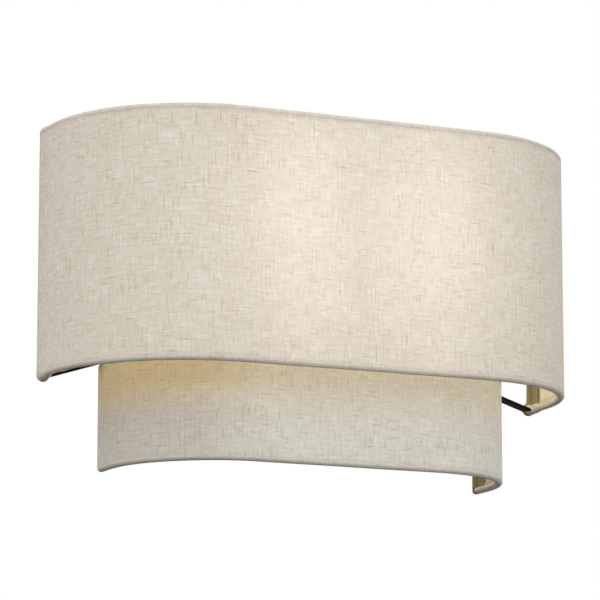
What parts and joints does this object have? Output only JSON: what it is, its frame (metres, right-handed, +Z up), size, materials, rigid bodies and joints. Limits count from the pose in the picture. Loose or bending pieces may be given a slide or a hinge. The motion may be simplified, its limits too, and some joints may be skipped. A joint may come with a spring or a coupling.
{
  "type": "two tier fabric shade wall light",
  "caption": "Half-oval wall light with nested linen shades, open at top and bottom, on a wall pan with candle lamps.",
  "frame": {"origin": "middle of the wall pan, on the wall surface", "axes": "+X along the wall to the viewer's right, +Y into the wall, +Z up"},
  "size_m": [0.306, 0.1015, 0.1882],
  "materials": {
    "linen_cover": "oatmeal slub linen",
    "styrene_liner": "smooth translucent sheet",
    "ring_wire": "white coated steel wire",
    "bronze_paint": "dark bronze powder coat, satin",
    "zinc_steel": "zinc plated",
    "phenolic": "black moulded phenolic",
    "brass": "bright",
    "nickel_cap": "nickel plated",
    "black_glass": "glossy insulating glass",
    "frosted_glass": "frosted white",
    "lit_column": "lit column, diffusing",
    "grommet_rubber": "black",
    "black_wire": "black insulation",
    "white_wire": "white insulation",
    "bare_copper": "bare copper",
    "terminal_plastic": "white moulded",
    "green_zinc": "green plated"
  },
  "bodies": {
    "wall_unit": {"block_screw": "zinc_steel", "bracket_nuts": "zinc_steel", "bracket_screws": "zinc_steel", "centre_contact_left": "brass", "centre_contact_right": "brass", "ground_lead": "bare_copper", "ground_screw": "green_zinc", "holder_nipples": "zinc_steel", "lampholder_left": "phenolic", "lampholder_right": "phenolic", "lead_grommets": "grommet_rubber", "line_leads": "black_wire", "mounting_strap": "zinc_steel", "neutral_leads": "white_wire", "nipple_nuts": "zinc_steel", "screw_shell_left": "brass", "screw_shell_right": "brass", "socket_bracket": "bronze_paint", "strap_studs": "zinc_steel", "stud_nuts": "zinc_steel", "terminal_block": "terminal_plastic", "terminal_screws": "zinc_steel", "wall_pan": "bronze_paint", "weld_nuts": "zinc_steel"},
    "shade": {"bracket_left": "bronze_paint", "bracket_right": "bronze_paint", "lower_bottom_wire": "ring_wire", "lower_cover": "linen_cover", "lower_end_wires": "ring_wire", "lower_liner": "styrene_liner", "lower_top_wire": "ring_wire", "upper_bottom_wire": "ring_wire", "upper_cover": "linen_cover", "upper_end_wires": "ring_wire", "upper_liner": "styrene_liner", "upper_top_wire": "ring_wire"},
    "cap_nut_left": {"cap_nut_left": "bronze_paint"},
    "cap_nut_right": {"cap_nut_right": "bronze_paint"},
    "lamp_left": {"lamp_left_cap": "nickel_cap", "lamp_left_eyelet": "nickel_cap", "lamp_left_globe": "frosted_glass", "lamp_left_insulator": "black_glass", "lamp_left_light_engine": "lit_column"},
    "lamp_right": {"lamp_right_cap": "nickel_cap", "lamp_right_eyelet": "nickel_cap", "lamp_right_globe": "frosted_glass", "lamp_right_insulator": "black_glass", "lamp_right_light_engine": "lit_column"},
    "thumb_screw_left_lower": {"thumb_screw_left_lower": "bronze_paint"},
    "thumb_screw_left_upper": {"thumb_screw_left_upper": "bronze_paint"},
    "thumb_screw_right_lower": {"thumb_screw_right_lower": "bronze_paint"},
    "thumb_screw_right_upper": {"thumb_screw_right_upper": "bronze_paint"}
  },
  "joints": [
    {"name": "shade_pull", "type": "slide", "parent": "wall_unit", "child": "shade", "axis": [0, -1, 0], "range_m": [0, 0.13]},
    {"name": "lamp_left_turn", "type": "hinge", "parent": "wall_unit", "child": "lamp_left", "pos_m": [-0.041, -0.054, -0.0405], "axis": [0, 0, 1], "continuous": true},
    {"name": "lamp_right_turn", "type": "hinge", "parent": "wall_unit", "child": "lamp_right", "pos_m": [0.041, -0.054, -0.0405], "axis": [0, 0, 1], "continuous": true},
    {"name": "cap_nut_left_turn", "type": "hinge", "parent": "wall_unit", "child": "cap_nut_left", "pos_m": [-0.024, -0.024, 0], "axis": [0, 1, 0], "continuous": true},
    {"name": "cap_nut_right_turn", "type": "hinge", "parent": "wall_unit", "child": "cap_nut_right", "pos_m": [0.024, -0.024, 0], "axis": [0, 1, 0], "continuous": true},
    {"name": "thumb_screw_left_upper_turn", "type": "hinge", "parent": "wall_unit", "child": "thumb_screw_left_upper", "pos_m": [-0.065, -0.0055, 0.022], "axis": [1, 0, 0], "continuous": true},
    {"name": "thumb_screw_left_lower_turn", "type": "hinge", "parent": "wall_unit", "child": "thumb_screw_left_lower", "pos_m": [-0.065, -0.0055, -0.022], "axis": [1, 0, 0], "continuous": true},
    {"name": "thumb_screw_right_upper_turn", "type": "hinge", "parent": "wall_unit", "child": "thumb_screw_right_upper", "pos_m": [0.065, -0.0055, 0.022], "axis": [1, 0, 0], "continuous": true},
    {"name": "thumb_screw_right_lower_turn", "type": "hinge", "parent": "wall_unit", "child": "thumb_screw_right_lower", "pos_m": [0.065, -0.0055, -0.022], "axis": [1, 0, 0], "continuous": true}
  ]
}
